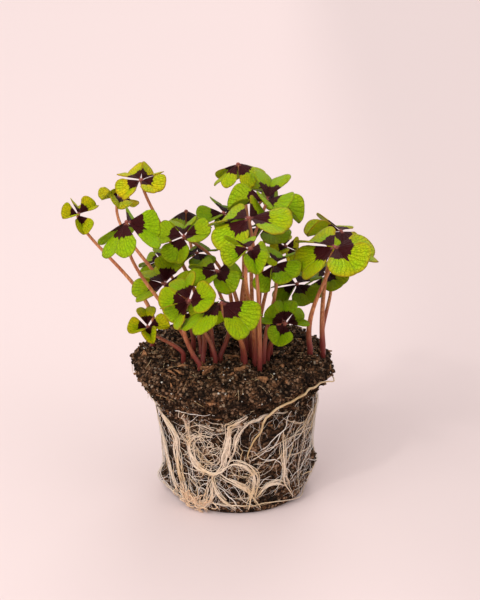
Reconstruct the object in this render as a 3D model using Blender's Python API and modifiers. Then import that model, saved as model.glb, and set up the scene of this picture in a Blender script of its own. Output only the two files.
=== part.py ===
"""Iron cross oxalis lifted out of its nursery pot: a bare ball of soil and roots, with red stalks
that each carry a leaf of four heart-shaped leaflets. Metres, +Z up, the origin at the centre of
the flat base, and the side that is looked at first towards -Y."""

import math
from collections import namedtuple

import bmesh
import bpy
from mathutils import Vector, noise

MM = 0.001

# Root ball: the plug of a small round pot, with a wider crumbling collar on top, in millimetres
BASE_RADIUS = 33.0
COLLAR_SHIFT = -3.0
BALL_PROFILE = (
    (0, 76.5), (12, 76.4), (24, 75.8), (33, 75.2), (40, 74.7), (45, 73.6), (47.6, 71.6),
    (48.6, 69), (47.4, 65.5), (45, 61.5), (42.3, 57.5), (40.6, 54), (39.8, 50.5), (39.2, 45),
    (38.2, 36), (37.3, 27), (36.6, 18), (36, 10), (35.4, 4.5), (34.5, 1.6), (33, 0), (0, 0),
)
BALL_STEPS = 48
CRUMB_SIZE = 5.5
COLLAR_CRUMB = 1.7
SIDE_CRUMB = 0.3
COLLAR_STARTS, COLLAR_FULL = 47.0, 57.0
TOP_STARTS, TOP_FULL = 70.0, 75.0
CRUMBS_FROM = 3.0

# Lumps that stand out of the ball: angle in degrees, height, how far each spreads and stands out
LUMPS = (
    (-6, 15, 7, 3.6), (-168, 9, 4.5, 4.2), (-9, 64.5, 5, 4.2), (176, 70, 7, 1.4), (-34, 6, 6, 1.8),
    (52, 67, 7, 2.4), (118, 62, 8, 2.0), (148, 30, 8, 1.8), (70, 24, 9, 1.6), (-140, 63, 6, 1.6),
)

# Blades
BLADE_THICK = 0.66
HALF_ANGLE = math.radians(47)
NOTCH, NOTCH_WIDTH = 0.14, 0.42
SHOULDER, SHOULDER_FROM, SHOULDER_CURVE = 0.36, 0.5, 2.4
MOST_FOLD, FOLD_STEP = 68, 4
LAYER_GAP, SIDE_GAP = 0.1, 0.04
ARCH = math.radians(22)
WAVE, WAVES = 0.018, 2.5
ACROSS, ALONG = 6, 2
BLADE_START = 0.75
HUB_RADIUS = 1.25
WELD = 0.0001

# Stalks
STALK_FOOT, STALK_TOP, STOUT = 1.2, 0.72, 1.45
STALK_SPANS = 6
FIT = 0.35
HOLE_BOTTOM, HOLE_TOP, HOLE_SIDES = 68.0, 88.0, 8
STRAIGHT_TO = 78.5
RISES_STRAIGHT, MEETS_STRAIGHT = 0.4, 0.3

# Roots, lying on the side of the ball and clear of it by a little
ROOT_GAP = 0.9
ROOT_STEP = 7.0
UNROLL_RADIUS = 38.0
THICK_ROOT, PLAIN_ROOT, THIN_ROOT = 1.25, 0.95, 0.7
RING_HEIGHT, RING_WAVE, RING_STEP = 5.0, 1.5, 12
BACK_ROOTS = 10
BACK_FROM, BACK_TO, BACK_TOP = 8, 172, 52
BACK_LEANS = (-0.7, 1.1)
BACK_BOW = 5.0

# One line a root in front: its radius, then the angle in degrees and the height of its points.
# Angle 0 is at +X and -90 faces the side that is looked at first.
FRONT_ROOTS = (
    (PLAIN_ROOT, ((-4, 65), (-22, 65), (-40, 66), (-58, 64), (-66, 60), (-72, 50), (-79, 42), (-82, 33))),
    (THICK_ROOT, ((-80, 59), (-93, 51), (-96, 45), (-98, 36), (-101, 28), (-108, 23))),
    (PLAIN_ROOT, ((-76, 56), (-87, 49), (-91, 43), (-92, 36), (-97, 28))),
    (THICK_ROOT, ((-107, 44), (-118, 44), (-125, 39), (-124, 32), (-118, 26), (-107, 24), (-97, 28))),
    (PLAIN_ROOT, ((-177, 51), (-166, 37), (-158, 27), (-151, 17), (-143, 8), (-133, 4))),
    (THICK_ROOT, ((-170, 51), (-149, 45), (-139, 39), (-140, 29), (-137, 19), (-134, 9), (-126, 4))),
    (PLAIN_ROOT, ((-119, 58), (-127, 48), (-125, 39))),
    (THICK_ROOT, ((-107, 24), (-109, 15), (-111, 8), (-118, 4), (-126, 5), (-131, 9), (-134, 17))),
    (PLAIN_ROOT, ((-105, 25), (-92, 20), (-82, 15), (-75, 8), (-72, 4))),
    (THICK_ROOT, ((-97, 28), (-92, 31), (-83, 29), (-77, 23), (-77, 16), (-79, 8), (-80, 4))),
    (PLAIN_ROOT, ((-106, 22), (-106, 16), (-100, 10), (-90, 5))),
    (PLAIN_ROOT, ((-57, 45), (-55, 36), (-54, 28), (-52, 19), (-48, 13), (-42, 5))),
    (THIN_ROOT, ((-33, 45), (-33, 36), (-34, 28), (-35, 20), (-34, 5))),
    (PLAIN_ROOT, ((-75, 10), (-68, 16), (-59, 17), (-48, 13))),
    (THIN_ROOT, ((-84, 33), (-63, 38), (-43, 40), (-21, 38), (4, 30))),
    (THIN_ROOT, ((-78, 29), (-56, 30), (-33, 28), (-16, 26), (2, 31))),
    (THIN_ROOT, ((-57, 36), (-43, 41), (-30, 44), (-18, 49))),
    (THIN_ROOT, ((-60, 57), (-49, 49), (-34, 45), (-20, 49))),
    (THIN_ROOT, ((-128, 46), (-115, 50), (-104, 48), (-90, 51), (-77, 55), (-66, 58), (-50, 57))),
)

Leaf = namedtuple("Leaf", "name hub length fold foot bend leaflets")

# Two lines a leaf, in millimetres and degrees: its hub, the length of its leaflets, how far their
# halves fold up (or down, below 0), where its stalk stands and how far it bows, and the heading and
# rise of each leaflet in turn round the hub. Heading 0 points along +X and 90 along +Y.
LEAVES = (
    Leaf("01", (-77, 4, 143.5), 12.5, 46, (-42, 1), (8, -3),
         ((39, 12), (97, 1), (-131, 1), (-66, -52))),
    Leaf("02", (-46, 0.5, 162), 14.5, 24, (-16, -3.5), (1, 2),
         ((63, -6), (123, -1), (-155, -40), (-38, -18))),
    Leaf("03", (-58, 15.5, 148.5), 12.5, 30, (-21.5, -5.5), (2, -3),
         ((52, -40), (123, -18), (-137, 3), (-88, -15))),
    Leaf("04", (-51, -33, 152), 19, -20, (-21.5, -16.5), (-9, -4),
         ((66, -34), (126, -47), (-114, -48), (3, -30))),
    Leaf("05", (-25.5, 28, 137.5), 15, -40, (-12.5, -8), (0, 1),
         ((41, -36), (139, -37), (-134, -23), (-47, -22))),
    Leaf("06", (-25.5, -7, 136), 16, 25, (-8, -17), (13, 12),
         ((90, 1), (167, -11), (-114, -54), (-26, 9))),
    Leaf("07", (-6.5, 3, 144.5), 15, 15, (4.5, -10), (0, 0),
         ((25, -36), (94, -3), (-142, -13), (-80, -42))),
    Leaf("08", (0.5, 21, 164), 15, -24, (7, -14), (1, 5),
         ((67, -24), (126, -50), (-140, -34), (-36, -31))),
    Leaf("09", (14.5, 0, 152), 22, 40, (3.5, -17), (-5, -1),
         ((82, 13), (177, -19), (-76, -6), (-9, -37))),
    Leaf("10", (5.5, -29, 152.5), 22, 16, (11, -29), (0, -4),
         ((59, -22), (137, -23), (-136, -47), (-23, -13))),
    Leaf("11", (6, -60.5, 148.5), 16, 28, (8.5, -22.5), (1, 1),
         ((33, -44), (121, -12), (-140, -28), (-74, -42))),
    Leaf("12", (24, 12, 124.5), 12.5, 34, (9.5, -18.5), (0, 0),
         ((53, -32), (116, 2), (-128, -16), (-70, -51))),
    Leaf("13", (-9.5, -21, 123.5), 16, 18, (3, -21.5), (0, 0),
         ((24, -24), (146, -12), (-134, -24), (-53, -38))),
    Leaf("14", (17.5, -17.5, 125.5), 16, 14, (13, -21), (0, 1),
         ((68, -5), (138, -17), (-102, -54), (-46, -17))),
    Leaf("15", (52, 22, 129), 20, 14, (42.5, -4.5), (-2, -7),
         ((13, -58), (108, -10), (-175, -11), (-94, -29))),
    Leaf("16", (46.5, -21, 135.5), 23, 12, (36, -8.5), (-4, -2),
         ((10, -20), (128, -12), (-169, -39), (-58, -24))),
    Leaf("17", (45, 19, 107), 15, 15, (42.5, 6), (0, 0),
         ((72, 2), (128, -35), (-108, -48), (-51, -9))),
    Leaf("18", (-34.5, -13.5, 114), 18, 16, (-16.5, -20), (4, 13),
         ((65, 36), (114, 5), (-166, -25), (-50, 1))),
    Leaf("19", (-22, -44, 117), 16.5, 30, (-18, -28.5), (-10, -1),
         ((99, 24), (169, -20), (166, -58), (-27, 13))),
    Leaf("20", (-7, -47.5, 117.5), 22, -10, (4, -25.5), (0, 0),
         ((46, -32), (123, -51), (-144, -31), (-35, -35))),
    Leaf("21", (-43, -20.5, 94.5), 12.5, 46, (-26, -19), (1, -2),
         ((100, 30), (-146, -6), (-71, -32), (-12, 1))),
    Leaf("22", (23, -26.5, 98.5), 14, 34, (15, -17), (0, 0),
         ((41, -5), (95, 36), (145, 2), (-118, -41))),
    Leaf("23", (29.5, 1.5, 108.5), 15, 14, (16.5, -10), (0, 0),
         ((55, -2), (151, -20), (-131, -43), (-54, -33))),
    Leaf("24", (-20, -19.5, 102.5), 14, 14, (-10.5, -21.5), (-1, 0),
         ((54, -6), (128, -27), (-114, -31), (-51, -12))),
    Leaf("25", (-19.5, 1.5, 124.5), 13, 15, (-12, -12), (0, 1),
         ((52, -12), (127, -21), (-143, -26), (-68, -25))),
    Leaf("26", (-38, 15.5, 116), 14, 15, (-17.5, -14.5), (1, 1),
         ((68, 0), (143, -32), (-129, -50), (-59, -24))),
    Leaf("27", (13.5, 13.5, 134), 16, 15, (10.5, -9.5), (-1, -1),
         ((57, -15), (123, -20), (-117, -25), (-55, -23))),
    Leaf("28", (15.5, 34, 144), 12.5, 24, (6.5, -5.5), (-3, 2),
         ((53, -53), (112, -8), (-160, 20), (-98, -20))),
)
STOUT_STALKS = ("15", "16")


def clear_scene():
    for obj in list(bpy.data.objects):
        bpy.data.objects.remove(obj, do_unlink=True)


def new_collection(name):
    collection = bpy.data.collections.new(name)
    bpy.context.scene.collection.children.link(collection)
    return collection


def make_material(name, colour, roughness):
    material = bpy.data.materials.new(name)
    material.use_nodes = True
    surface = material.node_tree.nodes["Principled BSDF"]
    surface.inputs["Base Color"].default_value = (*colour, 1)
    surface.inputs["Roughness"].default_value = roughness
    surface.inputs["Metallic"].default_value = 0
    return material


def new_object(name, data, collection, material=None):
    obj = bpy.data.objects.new(name, data)
    collection.objects.link(obj)
    if material:
        data.materials.clear()
        data.materials.append(material)
    return obj


def evaluated_mesh(obj):
    """The object's mesh with its modifiers in it, or a curve's tube, with loose caps welded."""
    bpy.context.view_layer.update()
    graph = bpy.context.evaluated_depsgraph_get()
    mesh = bpy.data.meshes.new_from_object(obj.evaluated_get(graph))
    bm = bmesh.new()
    bm.from_mesh(mesh)
    bmesh.ops.remove_doubles(bm, verts=bm.verts, dist=1e-7)
    bm.to_mesh(mesh)
    bm.free()
    return mesh


def mesh_from(bm, name):
    mesh = bpy.data.meshes.new(name)
    bm.to_mesh(mesh)
    bm.free()
    return mesh


def fused(name, first, others, collection, material):
    """One body out of overlapping closed meshes, which it replaces."""
    scraps = new_collection(name + "_pieces")
    body = new_object(name, first, collection, material)
    for mesh in others:
        new_object(name + "_piece", mesh, scraps)
    union = body.modifiers.new("Fuse", "BOOLEAN")
    union.operation = "UNION"
    union.operand_type = "COLLECTION"
    union.collection = scraps
    union.solver = "MANIFOLD"
    whole = evaluated_mesh(body)
    body.modifiers.remove(union)
    body.data = whole
    whole.materials.clear()
    whole.materials.append(material)
    for piece in list(scraps.objects):
        bpy.data.objects.remove(piece, do_unlink=True)
    bpy.data.collections.remove(scraps)
    return body


def smoothstep(low, high, value):
    t = min(max((value - low) / (high - low), 0.0), 1.0)
    return t * t * (3 - 2 * t)


# Root ball


def around(angle):
    turn = math.radians(angle)
    return Vector((math.cos(turn), math.sin(turn), 0))


def crumb_height(point):
    """How far the soil stands out at a point, in millimetres: small on the side, more on top."""
    on_collar = smoothstep(COLLAR_STARTS, COLLAR_FULL, point.z)
    depth = SIDE_CRUMB + (COLLAR_CRUMB - SIDE_CRUMB) * on_collar
    height = depth * (noise.noise(point / CRUMB_SIZE) + noise.noise(point / (4 * CRUMB_SIZE)))
    for angle, lump_z, spread, out in LUMPS:
        centre = around(angle) * ball_radius(lump_z) + Vector((0, 0, lump_z))
        height += out * math.exp(-((point - centre).length / spread) ** 2)
    return smoothstep(0.0, CRUMBS_FROM, point.z) * height


def ball_radius(height):
    """The radius of the smooth ball at a height, read down its outer side."""
    side = [p for p in BALL_PROFILE if p[0] >= BASE_RADIUS]
    for (r_high, z_high), (r_low, z_low) in zip(side, side[1:]):
        if z_low <= height <= z_high:
            share = (height - z_low) / (z_high - z_low)
            return r_low + share * (r_high - r_low)
    return BASE_RADIUS


def ball_slope(height):
    """How fast the ball widens with height there."""
    return (ball_radius(height + 1) - ball_radius(height - 1)) / 2


def collar_offset(height):
    return COLLAR_SHIFT * smoothstep(COLLAR_STARTS, COLLAR_FULL, height)


def soil_ball(collection, cutters, material):
    profile = bmesh.new()
    ring = [profile.verts.new((r * MM, 0, z * MM)) for r, z in BALL_PROFILE]
    for upper, lower in zip(ring, ring[1:]):
        profile.edges.new((upper, lower))
    ball = new_object("soil", mesh_from(profile, "soil"), collection, material)
    turn = ball.modifiers.new("Turn", "SCREW")
    turn.steps = turn.render_steps = BALL_STEPS
    turn.use_merge_vertices = True
    turn.merge_threshold = 0.0001
    ball.data = evaluated_mesh(ball)
    ball.modifiers.remove(turn)
    for vertex in ball.data.vertices:
        point = vertex.co / MM
        out = Vector((point.x, point.y, 0))
        out = out.normalized() if out.length > 1 else Vector()
        upward = smoothstep(TOP_STARTS, TOP_FULL, point.z)
        way = (out * (1 - upward) + Vector((0, 0, 1)) * upward) if point.z > 0.01 else Vector()
        point += way * crumb_height(point)
        point.x += collar_offset(vertex.co.z / MM)
        vertex.co = point * MM
    holes = ball.modifiers.new("Stalk holes", "BOOLEAN")
    holes.operation = "DIFFERENCE"
    holes.operand_type = "COLLECTION"
    holes.collection = cutters
    return ball


def stalk_hole(leaf, collection):
    """A plain round hole that a stalk stands in, clear of it all round."""
    radius = (foot_radius(leaf) + FIT) / math.cos(math.pi / HOLE_SIDES) * MM
    bm = bmesh.new()
    tall = (HOLE_TOP - HOLE_BOTTOM) * MM
    bmesh.ops.create_cone(
        bm, cap_ends=True, segments=HOLE_SIDES, radius1=radius, radius2=radius, depth=tall
    )
    centre = Vector((*leaf.foot, (HOLE_BOTTOM + HOLE_TOP) / 2)) * MM
    bmesh.ops.translate(bm, verts=bm.verts, vec=centre)
    hole = new_object("hole_" + leaf.name, mesh_from(bm, "hole"), collection)
    hole.hide_render = True
    hole.display_type = "WIRE"


# Leaves


def heading(degrees, rise):
    turn, lift = math.radians(degrees), math.radians(rise)
    return Vector((math.cos(lift) * math.cos(turn), math.cos(lift) * math.sin(turn), math.sin(lift)))


def leaf_axis(ways):
    """The way that a leaf's upper side faces, square to its four leaflets taken together."""
    total = Vector()
    for i, way in enumerate(ways):
        total += way.cross(ways[(i + 1) % len(ways)])
    return total.normalized()


def reach(across):
    """A leaflet's outline from its hub: 1 at its two lobes, less at the notch and the shoulders."""
    a = abs(across)
    notch = NOTCH * max(0.0, 1 - a / NOTCH_WIDTH) ** 2
    shoulder = SHOULDER * (max(0.0, a - SHOULDER_FROM) / (1 - SHOULDER_FROM)) ** SHOULDER_CURVE
    return 1 - notch - shoulder


def leaflet_frame(way, axis):
    """A leaflet's upward way and the side that faces the next leaflet."""
    up = (axis - way * axis.dot(way)).normalized()
    return up, up.cross(way)


def half_blade(way, axis, hand, fold):
    """The outer edge of half a leaflet, and the way that its upper face looks."""
    up, side = leaflet_frame(way, axis)
    lift = math.radians(fold)
    out = hand * side * math.cos(lift) + up * math.sin(lift)
    edge = math.cos(HALF_ANGLE) * way + math.sin(HALF_ANGLE) * out
    return edge, hand * way.cross(out)


def high_fold(way, following, axis, least):
    """How far, in degrees, a leaflet's half is raised to lie over the next leaflet or clear of it."""
    low_edge, low_face = half_blade(following, axis, -1, least)
    for fold in range(least, MOST_FOLD, FOLD_STEP):
        edge, face = half_blade(way, axis, 1, fold)
        over = edge.dot(low_face) > LAYER_GAP and low_edge.dot(face) < -LAYER_GAP
        between = way - following
        beside = edge.dot(between) > SIDE_GAP and low_edge.dot(between) < -SIDE_GAP
        if over or beside:
            return fold
    return MOST_FOLD


def leaflet_mesh(leaf, ways, axis, index):
    """One heart-shaped blade, arched along its length and folded up along its midrib."""
    way = ways[index]
    up, side = leaflet_frame(way, axis)
    folds = {1: high_fold(way, ways[(index + 1) % 4], axis, leaf.fold), -1: leaf.fold}
    start = way * math.cos(ARCH / 2) + up * math.sin(ARCH / 2)
    start_up = up * math.cos(ARCH / 2) - way * math.sin(ARCH / 2)
    bend = ARCH / leaf.length
    bm = bmesh.new()
    bmesh.ops.create_grid(bm, x_segments=ACROSS, y_segments=ALONG, size=0.5)
    for vertex in bm.verts:
        across, out = 2 * vertex.co.x, vertex.co.y + 0.5
        angle = across * HALF_ANGLE
        far = leaf.length * reach(across) * out
        along = BLADE_START + (1 - BLADE_START / leaf.length) * far * math.cos(angle)
        aside = far * math.sin(angle)
        turn = bend * along
        spine = start * (math.sin(turn) / bend) - start_up * ((1 - math.cos(turn)) / bend)
        local_up = start_up * math.cos(turn) - start * math.sin(turn)
        hand = 1 if across >= 0 else -1
        lift = math.radians(folds[hand])
        wave = WAVE * leaf.length * out * out * math.sin(WAVES * math.pi * across + index)
        rise = abs(aside) * math.sin(lift) + wave
        vertex.co = spine + side * (aside * math.cos(lift)) + local_up * rise
    bmesh.ops.remove_doubles(bm, verts=bm.verts, dist=WELD)
    bmesh.ops.triangulate(bm, faces=bm.faces)
    for vertex in bm.verts:
        vertex.co = (vertex.co + Vector(leaf.hub)) * MM
    return mesh_from(bm, "leaflet")


def leaf_node(leaf, collection, material):
    ways = [heading(*turn) for turn in leaf.leaflets]
    axis = leaf_axis(ways)
    blades = []
    for index in range(4):
        blade = new_object("blade", leaflet_mesh(leaf, ways, axis, index), collection)
        thicken = blade.modifiers.new("Thickness", "SOLIDIFY")
        thicken.thickness = BLADE_THICK * MM
        thicken.offset = 0
        blades.append(evaluated_mesh(blade))
        bpy.data.objects.remove(blade, do_unlink=True)
    bm = bmesh.new()
    bmesh.ops.create_icosphere(bm, subdivisions=1, radius=HUB_RADIUS * MM)
    bmesh.ops.translate(bm, verts=bm.verts, vec=Vector(leaf.hub) * MM)
    return fused("leaf_" + leaf.name, mesh_from(bm, "hub"), blades, collection, material)


# Stalks


def foot_radius(leaf):
    return STOUT if leaf.name in STOUT_STALKS else STALK_FOOT


def stalk_route(leaf):
    """Points and radii up a stalk, from the bottom of its hole to just under its leaf's hub."""
    axis = leaf_axis([heading(*turn) for turn in leaf.leaflets])
    foot = Vector((*leaf.foot, HOLE_BOTTOM + FIT))
    ground = Vector((*leaf.foot, STRAIGHT_TO))
    top = Vector(leaf.hub) - axis * (HUB_RADIUS + FIT)
    rise = top.z - ground.z
    bow = Vector((*leaf.bend, 0))
    low = ground + Vector((0, 0, RISES_STRAIGHT * rise)) + bow
    high = top - axis * (MEETS_STRAIGHT * rise) + bow
    points = [foot]
    for i in range(STALK_SPANS + 1):
        t = i / STALK_SPANS
        points.append(
            ground * (1 - t) ** 3
            + low * (3 * t * (1 - t) ** 2)
            + high * (3 * t * t * (1 - t))
            + top * t**3
        )
    thick = foot_radius(leaf)
    taper = (STALK_TOP - thick) / STALK_SPANS
    return points, [thick] + [thick + taper * i for i in range(STALK_SPANS + 1)]


def tube(name, points, radii, collection, sides_beyond_four=1):
    curve = bpy.data.curves.new(name, "CURVE")
    curve.dimensions = "3D"
    curve.bevel_depth = MM
    curve.bevel_resolution = sides_beyond_four
    curve.use_fill_caps = True
    spline = curve.splines.new("POLY")
    spline.points.add(len(points) - 1)
    for knot, point, radius in zip(spline.points, points, radii):
        knot.co = (*(point * MM), 1)
        knot.radius = radius
    return new_object(name, curve, collection)


def stalk_node(leaf, collection, material):
    stalk = tube("stalk_" + leaf.name, *stalk_route(leaf), collection)
    stalk.data.materials.append(material)
    return stalk


# Roots


def smooth_route(points, step):
    """Points about a step apart along a smooth curve through the route's own points."""
    ends = [2 * points[0] - points[1], *points, 2 * points[-1] - points[-2]]
    out = []
    for a, b, c, d in zip(ends, ends[1:], ends[2:], ends[3:]):
        parts = max(1, round((c - b).length / step))
        for i in range(parts):
            t = i / parts
            out.append(
                0.5 * (2 * b + (c - a) * t + (2 * a - 5 * b + 4 * c - d) * t * t)
                + 0.5 * (3 * b - a - 3 * c + d) * t**3
            )
    return out + [points[-1]]


def root_tube(angles_heights, radius):
    """A root that follows the ball's side, as a closed tube."""
    flat = [Vector((math.radians(a) * UNROLL_RADIUS, z)) for a, z in angles_heights]
    points = []
    for place in smooth_route(flat, ROOT_STEP):
        angle, height = math.degrees(place.x / UNROLL_RADIUS), place.y
        slope = ball_slope(height)
        out = (around(angle) - Vector((0, 0, slope))) / math.hypot(1, slope)
        point = around(angle) * ball_radius(height) + Vector((0, 0, height))
        point += out * (crumb_height(point) + ROOT_GAP + radius)
        point.x += collar_offset(height)
        point.z = max(point.z, radius + FIT)
        points.append(point)
    curve = tube("root", points, [radius] * len(points), bpy.context.scene.collection, 0)
    mesh = evaluated_mesh(curve)
    bpy.data.objects.remove(curve, do_unlink=True)
    return mesh


def ring_route():
    """A root that circles the whole ball near its foot, where the pot's corner led it."""
    turns = range(0, 361, RING_STEP)
    return [(a, RING_HEIGHT + RING_WAVE * math.sin(math.radians(3 * a))) for a in turns]


def back_routes():
    """Roots down the far side, by a rule: each leans one way, and the next leans the other."""
    gap = (BACK_TO - BACK_FROM) / (BACK_ROOTS - 1)
    for i in range(BACK_ROOTS):
        angle = BACK_FROM + i * gap
        lean = gap * BACK_LEANS[i % 2]
        bow = BACK_BOW * math.sin(2.4 * i)
        yield (
            (angle - lean / 2, BACK_TOP), (angle + bow, 38), (angle + lean / 3, 24),
            (angle + lean / 2 - bow, 13), (angle + lean / 2, RING_HEIGHT - 1),
        )


def root_net(collection, material):
    pieces = [root_tube(ring_route(), THIN_ROOT)]
    pieces += [root_tube(route, radius) for radius, route in FRONT_ROOTS]
    pieces += [root_tube(route, (PLAIN_ROOT, THIN_ROOT)[i % 2]) for i, route in enumerate(back_routes())]
    return fused("roots", pieces[0], pieces[1:], collection, material)


def main():
    clear_scene()
    plant = new_collection("Iron cross oxalis")
    cutters = new_collection("Cutters")
    green = make_material("leaf", (0.28, 0.47, 0.02), 0.45)
    red = make_material("stalk", (0.42, 0.11, 0.06), 0.5)
    dark = make_material("soil", (0.035, 0.02, 0.012), 0.95)
    cream = make_material("roots", (0.62, 0.45, 0.28), 0.7)
    for leaf in LEAVES:
        stalk_hole(leaf, cutters)
        leaf_node(leaf, plant, green)
        stalk_node(leaf, plant, red)
    soil_ball(plant, cutters, dark)
    root_net(plant, cream)


main()
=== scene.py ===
"""The looks of an iron cross oxalis that stands on its bare ball of soil and roots. Lengths
are in millimetres in the CAD model's frame, and become metres as a mesh is made. The looks and
the stage are in metres."""

import random
from collections import namedtuple
from math import cos, degrees, exp, hypot, pi, radians, sin, sqrt
from random import choice, gauss, uniform

import bmesh
import bpy
from mathutils import Matrix, Vector, noise


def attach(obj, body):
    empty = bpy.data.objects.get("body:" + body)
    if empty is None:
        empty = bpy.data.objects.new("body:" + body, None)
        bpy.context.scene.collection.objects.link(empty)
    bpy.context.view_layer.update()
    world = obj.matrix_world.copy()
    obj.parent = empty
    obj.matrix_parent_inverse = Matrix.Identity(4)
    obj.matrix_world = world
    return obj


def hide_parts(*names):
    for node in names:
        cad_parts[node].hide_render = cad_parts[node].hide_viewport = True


MM = 0.001
UP = Vector((0, 0, 1))

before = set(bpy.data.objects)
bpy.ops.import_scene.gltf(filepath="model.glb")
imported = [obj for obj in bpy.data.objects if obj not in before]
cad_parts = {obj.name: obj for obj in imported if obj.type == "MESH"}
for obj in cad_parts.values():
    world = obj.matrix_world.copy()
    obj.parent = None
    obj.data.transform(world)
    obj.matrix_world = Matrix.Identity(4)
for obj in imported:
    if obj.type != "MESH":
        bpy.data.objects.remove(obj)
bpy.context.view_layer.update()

# Root ball
BASE_RADIUS = 33.0
COLLAR_SHIFT = -3.0
BALL_PROFILE = (
    (0, 76.5), (12, 76.4), (24, 75.8), (33, 75.2), (40, 74.7), (45, 73.6), (47.6, 71.6),
    (48.6, 69), (47.4, 65.5), (45, 61.5), (42.3, 57.5), (40.6, 54), (39.8, 50.5), (39.2, 45),
    (38.2, 36), (37.3, 27), (36.6, 18), (36, 10), (35.4, 4.5), (34.5, 1.6), (33, 0), (0, 0),
)
CRUMB_SIZE = 5.5
COLLAR_CRUMB = 1.7
SIDE_CRUMB = 0.3
COLLAR_STARTS, COLLAR_FULL = 47.0, 57.0
TOP_STARTS, TOP_FULL = 70.0, 75.0
CRUMBS_FROM = 3.0

# Larger lumps: angle round the ball, height, spread and how far each stands out
LUMPS = (
    (-6, 15, 7, 3.6), (-168, 9, 4.5, 4.2), (-9, 64.5, 5, 4.2), (176, 70, 7, 1.4), (-34, 6, 6, 1.8),
    (52, 67, 7, 2.4), (118, 62, 8, 2.0), (148, 30, 8, 1.8), (70, 24, 9, 1.6), (-140, 63, 6, 1.6),
)

# The soil's grain: size, depth and level of its lumps, and size and depth of its waves
GRAIN_LUMPS = ((3.1, 1.9, 0.42), (1.5, 0.9, 0.45))
GRAIN_WAVES = ((2.2, 1.5), (6.5, 1.1))
GRAIN_SCALE, GRAIN_BEND = 700.0, (0.0014, 0.0014, 0.0014)
SIDE_GRAIN = 0.30
GRAIN_LOWER = 4
LUMP_ENDS = 3
PROFILE_STEP, BASE_STEP = 0.85, 3.4
SPIN_STEPS = 300
SAME_POINT = 1e-4

# Where loose bits lie: the top's radius, and the heights of the collar and of the side
TOP_RADIUS = 46
COLLAR_HEIGHTS, SIDE_HEIGHTS = (48, 73), (4, 50)
FRONT_ANGLES, FRONT_RADII, FRONT_HEIGHT = (-140, -50), (16, 44), 75
STRETCHES = ((0.7, 1.3), (0.7, 1.3), (0.6, 1.1))
DENTS = 1.7
CHIP_SHAPE = (1.6, 0.8, 0.32, 1)
SOIL_FIBRES = 150
FIBRE_STEP, FIBRE_START, FIBRE_SINK = 0.8, 0.9, 0.006
FIBRE_CURL, CURL_GROWTH = 0.25, 0.1

# Blades
BLADE_THICK = 0.34
HALF_ANGLE = radians(47)
NOTCH, NOTCH_WIDTH = 0.14, 0.42
SHOULDER, SHOULDER_FROM, SHOULDER_CURVE = 0.36, 0.5, 2.4
MOST_FOLD, FOLD_STEP = 68, 4
LAYER_GAP, SIDE_GAP = 0.1, 0.04
ARCH = radians(22)
WAVE, WAVES = 0.018, 2.5
ACROSS, ALONG = 26, 15
BLADE_START = 0.75
HUB_RADIUS = 1.25
TONE_TURN = 0.12
RIPPLE, RIPPLES_ACROSS, RIPPLES_OUT = 0.022, 4, 2.2
BELLY = 0.045
CREASE, CREASES_ACROSS, CREASES_OUT = 0.010, 3.75, 1.3
KNOB_SHARE, KNOB_FLAT = 0.8, 0.75

# The pattern on a blade: its fan of veins, the net between them and the teeth of the dark mark
VEINS, VEIN_LEAN, VEIN_WANDER = 7.5, -2.6, 1.3
VEIN_WIDTH, RIB_WIDTH, NET_WIDTH = 0.09, 0.035, 0.09
WANDER_SCALE, NET_SCALE = 240.0, 620.0
MARK_REACH, MARK_AT_RIB, RIB_REACH = 0.30, 0.09, 0.16
MARK_TEETH = ((13.0, 0.22, 2.0), (40.0, 0.07, 1.0))

# Stalks
STALK_FOOT, STALK_TOP, STOUT = 1.2, 0.72, 1.45
STOUT_STALKS = ("15", "16")
FIT = 0.35
HOLE_BOTTOM = 68.0
STRAIGHT_TO = 78.5
RISES_STRAIGHT, MEETS_STRAIGHT = 0.4, 0.3
STALK_SPANS = 34
TAPER = 1.5
NECK = 0.9
INTO_HUB = 0.3

# Roots
UNROLL_RADIUS = 38.0
THICK, PLAIN, THIN = 1.25, 0.95, 0.7
RING_HEIGHT, RING_WAVE, RING_STEP = 5.0, 1.5, 12
BACK_ROOTS = 10
BACK_FROM, BACK_TO, BACK_TOP = 8, 172, 52
BACK_LEANS = (-0.7, 1.1)
BACK_BOW = 5.0

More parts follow.
